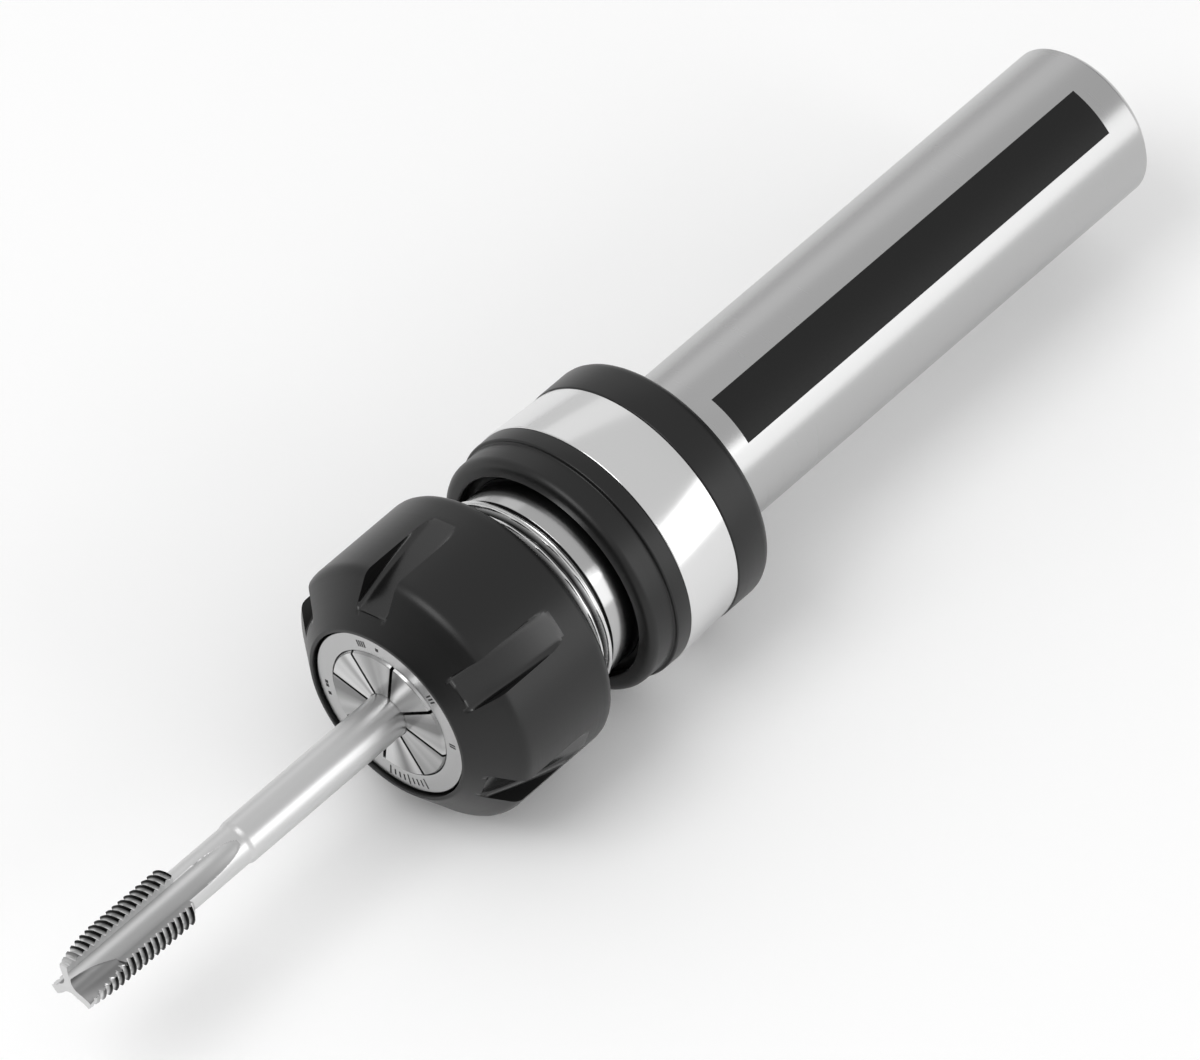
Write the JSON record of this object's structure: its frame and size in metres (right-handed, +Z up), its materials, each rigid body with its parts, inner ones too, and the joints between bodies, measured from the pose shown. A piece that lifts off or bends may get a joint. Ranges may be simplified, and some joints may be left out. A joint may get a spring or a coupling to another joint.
{
  "type": "tapping chuck",
  "caption": "Straight-shank tapping chuck with a spring collet, a clamping nut, a length-compensating quill and a spiral-point tap.",
  "frame": {"origin": "on the chuck's axis in the gauge plane, where the shank leaves the collar's rear face", "axes": "+X along the axis from the tap to the shank's free end, +Z up, +Y across; the chuck lies level as in a turret or tailstock"},
  "size_m": [0.2115, 0.042, 0.042],
  "materials": {
    "ground_steel": "ground",
    "polished_steel": "polished",
    "bright_band": "bright",
    "black_oxide": "satin black oxide",
    "tool_steel": "ground",
    "spring_steel": "satin",
    "bearing_steel": "polished",
    "bronze": "turned",
    "rubber": "matt"
  },
  "bodies": {
    "holder": {"shank_housing": "ground_steel", "rear_ring": "black_oxide", "silver_band": "bright_band", "front_cap": "black_oxide", "wiper_seal": "rubber", "guide_bush": "bronze", "cap_seal_ring": "rubber", "drive_keys": "bearing_steel", "push_seat_washer": "bearing_steel", "pull_seat_washer": "bearing_steel", "end_plug": "black_oxide", "push_spring": "spring_steel", "pull_spring": "spring_steel"},
    "quill": {"quill": "polished_steel", "stop_screw": "black_oxide", "draw_bolt": "black_oxide", "bolt_washer": "bearing_steel", "stem_seal_ring": "rubber", "spring_thrust_washer": "bearing_steel"},
    "clamp_ring": {"bearing_ring": "polished_steel", "collet": "polished_steel"},
    "nut": {"nut_shell": "black_oxide", "thrust_washer": "bronze", "nut_snap_ring": "spring_steel"},
    "tap": {"tap": "tool_steel"}
  },
  "joints": [
    {"name": "quill_slide", "type": "slide", "parent": "holder", "child": "quill", "axis": [1, 0, 0], "range_m": [-0.007, 0.005], "stiffness_N_per_m": 8000, "deforming": ["push_spring", "pull_spring"]},
    {"name": "nut_travel", "type": "slide", "parent": "quill", "child": "clamp_ring", "axis": [1, 0, 0], "range_m": [-0.0121, 0.0001]},
    {"name": "nut_turn", "type": "hinge", "parent": "clamp_ring", "child": "nut", "pos_m": [-0.045, 0, 0], "axis": [1, 0, 0], "range_deg": [-2880, 0]},
    {"name": "tap_slide", "type": "slide", "parent": "clamp_ring", "child": "tap", "axis": [1, 0, 0], "range_m": [-0.04, 0]}
  ],
  "couplings": [
    {"joint": "nut_travel", "follows": "nut_turn", "m_per_rad": 0.00023873}
  ]
}
